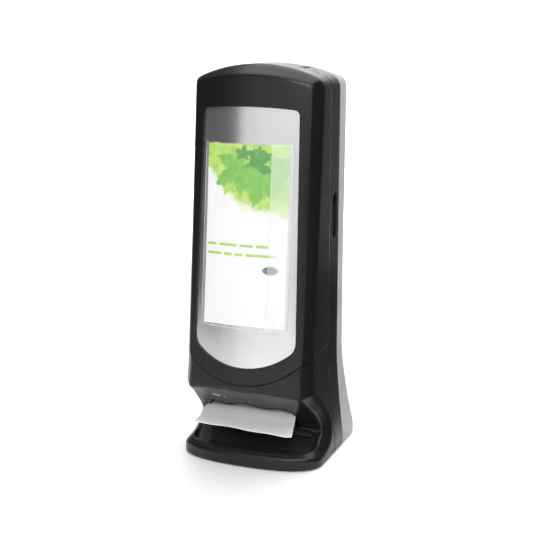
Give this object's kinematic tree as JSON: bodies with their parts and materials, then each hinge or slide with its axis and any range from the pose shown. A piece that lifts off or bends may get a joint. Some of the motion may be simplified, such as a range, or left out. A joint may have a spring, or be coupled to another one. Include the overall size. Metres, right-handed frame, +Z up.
{
  "type": "napkin dispenser",
  "caption": "Free-standing tower napkin dispenser with a leaning display door, a scooped front slot over a rounded tray, a side latch and a weighted flared base.",
  "frame": {"origin": "centre of the footprint on the surface the feet stand on", "axes": "+X to the right of someone facing the front, -Y out of the front, +Z up"},
  "size_m": [0.235, 0.2349, 0.622],
  "materials": {
    "black_satin": "satin moulded, lightly polished",
    "black_texture": "fine textured",
    "grey_shell": "fine spark texture",
    "silver_panel": "metallic silver paint under a clear coat",
    "clear_pocket": "clear polycarbonate sheet",
    "printed_card": "coated card with printed leaves",
    "pale_plastic": "plain moulded",
    "bearing_plastic": "natural acetal",
    "zinc_steel": "zinc plated",
    "bright_steel": "ground and polished",
    "black_steel": "black powder coat",
    "cast_iron": "as cast, painted grey",
    "foot_rubber": "soft matt",
    "napkin_paper": "embossed tissue"
  },
  "bodies": {
    "root": {"base_pan": "black_texture", "ballast_plate": "cast_iron", "ballast_screws": "zinc_steel", "rubber_feet": "foot_rubber", "dispensing_front": "black_satin", "lower_lip": "black_texture", "slot_lip": "black_texture", "rear_housing": "black_satin", "back_cover": "grey_shell", "back_cover_screws": "zinc_steel", "magazine_left": "pale_plastic", "magazine_right": "pale_plastic", "magazine_back": "pale_plastic", "throat_plate": "black_texture", "retaining_fingers": "pale_plastic", "rod_bracket_upper": "zinc_steel", "rod_bracket_lower": "zinc_steel", "guide_rods": "bright_steel", "napkin_stack": "napkin_paper", "napkin": "napkin_paper", "hinge_leaves_fixed": "black_steel", "hinge_pins": "bright_steel", "latch_guide": "black_texture"},
    "follower": {"follower_plate": "black_texture", "follower_bushes": "bearing_plastic", "follower_weight": "cast_iron", "weight_screws": "zinc_steel"},
    "latch": {"latch_slide": "black_texture"},
    "door": {"front_cover": "black_satin", "window_panel": "silver_panel", "panel_frame": "black_texture", "panel_screws": "zinc_steel", "card_pocket": "clear_pocket", "door_liner": "pale_plastic", "catch_hook": "zinc_steel", "catch_screws": "zinc_steel", "hinge_leaves_door": "black_steel"},
    "card": {"insert_card": "printed_card"}
  },
  "joints": [
    {"name": "door_hinge", "type": "hinge", "parent": "root", "child": "door", "pos_m": [-0.10685, -0.00245, 0.37], "axis": [0, 0, -1], "range_deg": [0, 110]},
    {"name": "latch_travel", "type": "slide", "parent": "root", "child": "latch", "axis": [0, 0, 1], "range_m": [0, 0.012]},
    {"name": "follower_slide", "type": "slide", "parent": "root", "child": "follower", "axis": [0, 0, 1], "range_m": [-0.4, 0], "deforming": ["napkin_stack"]},
    {"name": "card_lift", "type": "slide", "parent": "door", "child": "card", "axis": [0, 0.0976, 0.9952], "range_m": [0, 0.045]}
  ]
}
